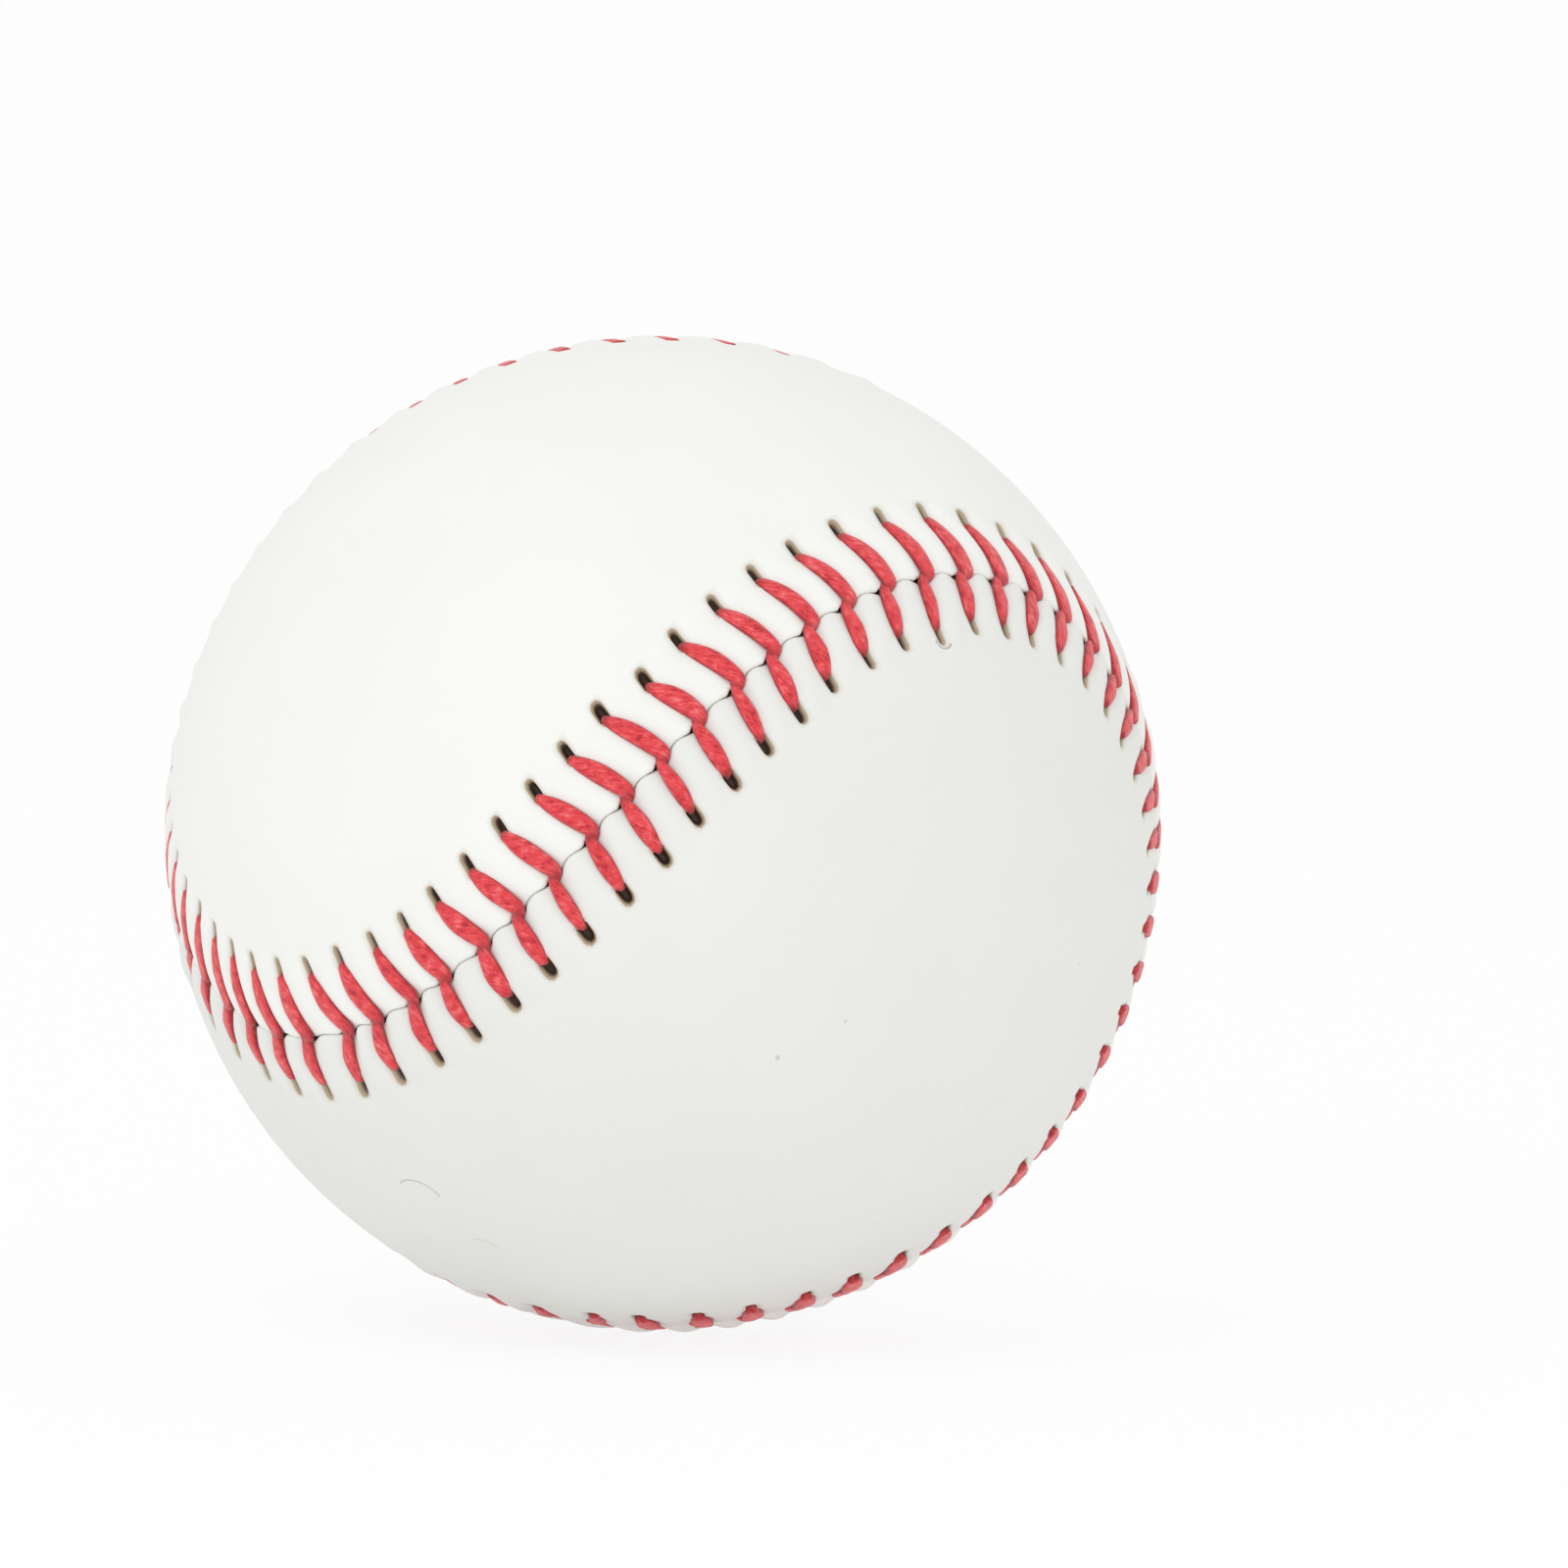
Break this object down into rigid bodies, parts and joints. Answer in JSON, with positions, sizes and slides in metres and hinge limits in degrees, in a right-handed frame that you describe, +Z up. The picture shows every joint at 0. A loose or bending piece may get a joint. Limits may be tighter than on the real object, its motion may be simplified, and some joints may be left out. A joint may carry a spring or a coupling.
{
  "type": "baseball",
  "caption": "Baseball: a cork and rubber pill in layers of wound yarn, covered with figure-eight leather panels that V stitches of red thread sew together along a wavy seam.",
  "frame": {"origin": "centre of the ball", "axes": "+Z up and +Y away from the picture's camera, as the ball lies there. The seam's own axes are turned from the row's by -53 degrees about X, then -11.4 about Y, then -92.3 about Z. On the seam's own Z axis lie the two panels' waists, and on its X and Y axes the seam crosses a half-turn axis of the ball."},
  "size_m": [0.076, 0.0757, 0.0757],
  "materials": {
    "cork": "matte cork and rubber granules",
    "black_rubber": "matte moulded",
    "red_washer": "matte moulded",
    "red_rubber": "matte moulded",
    "grey_wool": "wound yarn",
    "white_wool": "wound yarn",
    "white_cotton": "fine wound yarn",
    "adhesive": "dried rubber cement",
    "white_leather": "satin, fine grain",
    "red_thread": "waxed thread"
  },
  "bodies": {
    "root": {"cork_core": "cork", "black_shell_upper": "black_rubber", "black_shell_lower": "black_rubber", "black_shell_washer": "red_washer", "red_rubber_layer": "red_rubber", "grey_wool_inner": "grey_wool", "white_wool": "white_wool", "grey_wool_outer": "grey_wool", "finishing_yarn": "white_cotton", "adhesive_film": "adhesive", "cover_panel_a": "white_leather", "cover_panel_b": "white_leather", "thread_a": "red_thread", "thread_b": "red_thread"}
  },
  "joints": []
}
